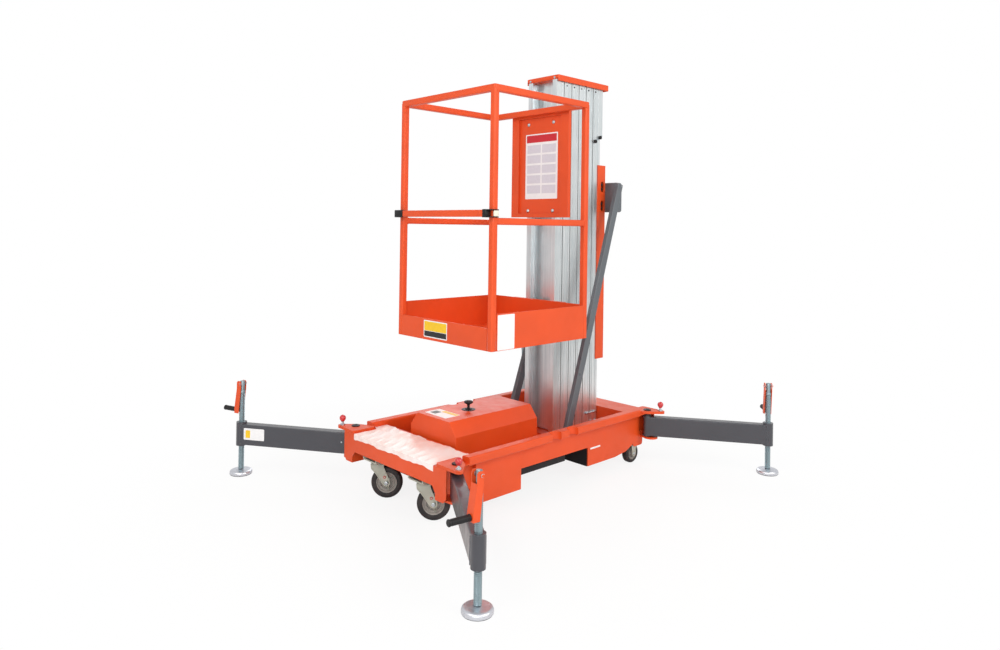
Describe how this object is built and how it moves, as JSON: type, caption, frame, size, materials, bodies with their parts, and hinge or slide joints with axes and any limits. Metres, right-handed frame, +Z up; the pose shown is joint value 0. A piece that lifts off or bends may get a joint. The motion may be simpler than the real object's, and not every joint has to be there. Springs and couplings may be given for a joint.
{
  "type": "vertical mast lift",
  "caption": "Push-around one-person work lift: caged platform on a nested telescopic mast over a low wheeled tray with folding screw-jack outriggers.",
  "frame": {"origin": "on the floor, under the middle of the parked machine's bounding box; the machine's own centre plane is at x = +0.03029 m, because one jack's crank reaches out past the pads", "axes": "+Z up; -Y is the entry side of the platform and the steering casters' end; +X is the machine's side nearest the viewer in the picture, called right in node names"},
  "size_m": [1.8734, 2.1898, 1.988],
  "materials": {
    "orange_steel": "satin orange-red powder coat",
    "grey_steel": "satin dark grey paint",
    "black_steel": "matt black paint",
    "power_block": "plain dark block",
    "mast_aluminium": "clear anodised extrusion",
    "zinc_steel": "bright zinc plate",
    "black_plastic": "moulded black plastic",
    "red_knob": "glossy red ball",
    "hub_plastic": "grey moulded wheel centre",
    "tyre_rubber": "dark rubber tread",
    "film": "pale protective film"
  },
  "bodies": {
    "chassis": {"chassis_tray": "orange_steel", "belly_pan": "black_steel", "deck_film": "film", "arm_pivot_pins": "zinc_steel", "arm_plungers": "red_knob", "power_pack": "power_block", "mast_section_1": "mast_aluminium", "rear_channel": "orange_steel", "mast_braces": "grey_steel", "caster_mounts": "zinc_steel", "rear_wheel_brackets": "zinc_steel"},
    "hood": {"hood": "orange_steel", "hood_knob": "black_plastic"},
    "mast_stage_2": {"mast_section_2": "mast_aluminium"},
    "mast_stage_3": {"mast_section_3": "mast_aluminium"},
    "mast_stage_4": {"mast_section_4": "mast_aluminium"},
    "mast_stage_5": {"mast_section_5": "mast_aluminium"},
    "mast_stage_6": {"mast_section_6": "mast_aluminium", "mast_cap": "mast_aluminium", "mount_plate": "orange_steel", "platform_pan": "orange_steel", "platform_guard": "orange_steel"},
    "entry_bar": {"entry_bar": "orange_steel", "entry_bar_ends": "black_plastic"},
    "arm_fr": {"arm_fr": "grey_steel"},
    "jack_fr": {"jack_screw_fr": "zinc_steel", "crank_fr": "orange_steel", "grip_fr": "black_plastic"},
    "arm_fl": {"arm_fl": "grey_steel"},
    "jack_fl": {"jack_screw_fl": "zinc_steel", "crank_fl": "orange_steel", "grip_fl": "black_plastic"},
    "arm_rr": {"arm_rr": "grey_steel"},
    "jack_rr": {"jack_screw_rr": "zinc_steel", "crank_rr": "orange_steel", "grip_rr": "black_plastic"},
    "arm_rl": {"arm_rl": "grey_steel"},
    "jack_rl": {"jack_screw_rl": "zinc_steel", "crank_rl": "orange_steel", "grip_rl": "black_plastic"},
    "caster_r": {"caster_fork_r": "zinc_steel"},
    "caster_wheel_r": {"caster_tyre_r": "tyre_rubber", "caster_hub_r": "hub_plastic"},
    "rear_wheel_r": {"rear_tyre_r": "tyre_rubber", "rear_hub_r": "hub_plastic"},
    "caster_l": {"caster_fork_l": "zinc_steel"},
    "caster_wheel_l": {"caster_tyre_l": "tyre_rubber", "caster_hub_l": "hub_plastic"},
    "rear_wheel_l": {"rear_tyre_l": "tyre_rubber", "rear_hub_l": "hub_plastic"}
  },
  "joints": [
    {"name": "mast_2", "type": "slide", "parent": "chassis", "child": "mast_stage_2", "axis": [0, 0, 1], "range_m": [0, 1.35]},
    {"name": "mast_3", "type": "slide", "parent": "mast_stage_2", "child": "mast_stage_3", "axis": [0, 0, 1], "range_m": [0, 1.35]},
    {"name": "mast_4", "type": "slide", "parent": "mast_stage_3", "child": "mast_stage_4", "axis": [0, 0, 1], "range_m": [0, 1.35]},
    {"name": "mast_5", "type": "slide", "parent": "mast_stage_4", "child": "mast_stage_5", "axis": [0, 0, 1], "range_m": [0, 1.35]},
    {"name": "mast_6", "type": "slide", "parent": "mast_stage_5", "child": "mast_stage_6", "axis": [0, 0, 1], "range_m": [0, 1.35]},
    {"name": "entry_bar_lift", "type": "slide", "parent": "mast_stage_6", "child": "entry_bar", "axis": [0, 0, 1], "range_m": [0, 0.48]},
    {"name": "hood_lift", "type": "slide", "parent": "chassis", "child": "hood", "axis": [0, 0, 1], "range_m": [0, 0.24]},
    {"name": "arm_fr_swing", "type": "hinge", "parent": "chassis", "child": "arm_fr", "pos_m": [0.39229, -0.65, 0.146], "axis": [0, 0, 1], "range_deg": [0, 123.8]},
    {"name": "jack_fr_screw", "type": "slide", "parent": "arm_fr", "child": "jack_fr", "axis": [0, 0, 1], "range_m": [0, 0.09]},
    {"name": "arm_fl_swing", "type": "hinge", "parent": "chassis", "child": "arm_fl", "pos_m": [-0.33171, -0.65, 0.146], "axis": [0, 0, 1], "range_deg": [-123.8, 0]},
    {"name": "jack_fl_screw", "type": "slide", "parent": "arm_fl", "child": "jack_fl", "axis": [0, 0, 1], "range_m": [0, 0.09]},
    {"name": "arm_rr_swing", "type": "hinge", "parent": "chassis", "child": "arm_rr", "pos_m": [0.39229, 0.65, 0.146], "axis": [0, 0, 1], "range_deg": [-123.8, 0]},
    {"name": "jack_rr_screw", "type": "slide", "parent": "arm_rr", "child": "jack_rr", "axis": [0, 0, 1], "range_m": [0, 0.09]},
    {"name": "arm_rl_swing", "type": "hinge", "parent": "chassis", "child": "arm_rl", "pos_m": [-0.33171, 0.65, 0.146], "axis": [0, 0, 1], "range_deg": [0, 123.8]},
    {"name": "jack_rl_screw", "type": "slide", "parent": "arm_rl", "child": "jack_rl", "axis": [0, 0, 1], "range_m": [0, 0.09]},
    {"name": "caster_r_swivel", "type": "hinge", "parent": "chassis", "child": "caster_r", "pos_m": [0.19629, -0.66, 0.162], "axis": [0, 0, 1], "continuous": true},
    {"name": "caster_r_roll", "type": "hinge", "parent": "caster_r", "child": "caster_wheel_r", "pos_m": [0.2274, -0.62889, 0.07], "axis": [-0.7071, 0.7071, 0], "continuous": true},
    {"name": "rear_r_roll", "type": "hinge", "parent": "chassis", "child": "rear_wheel_r", "pos_m": [0.32229, 0.6, 0.05], "axis": [1, 0, 0], "continuous": true},
    {"name": "caster_l_swivel", "type": "hinge", "parent": "chassis", "child": "caster_l", "pos_m": [-0.13571, -0.66, 0.162], "axis": [0, 0, 1], "continuous": true},
    {"name": "caster_l_roll", "type": "hinge", "parent": "caster_l", "child": "caster_wheel_l", "pos_m": [-0.1046, -0.62889, 0.07], "axis": [-0.7071, 0.7071, 0], "continuous": true},
    {"name": "rear_l_roll", "type": "hinge", "parent": "chassis", "child": "rear_wheel_l", "pos_m": [-0.26171, 0.6, 0.05], "axis": [1, 0, 0], "continuous": true}
  ],
  "couplings": [
    {"joint": "mast_3", "follows": "mast_2", "ratio": 1},
    {"joint": "mast_4", "follows": "mast_2", "ratio": 1},
    {"joint": "mast_5", "follows": "mast_2", "ratio": 1},
    {"joint": "mast_6", "follows": "mast_2", "ratio": 1}
  ]
}
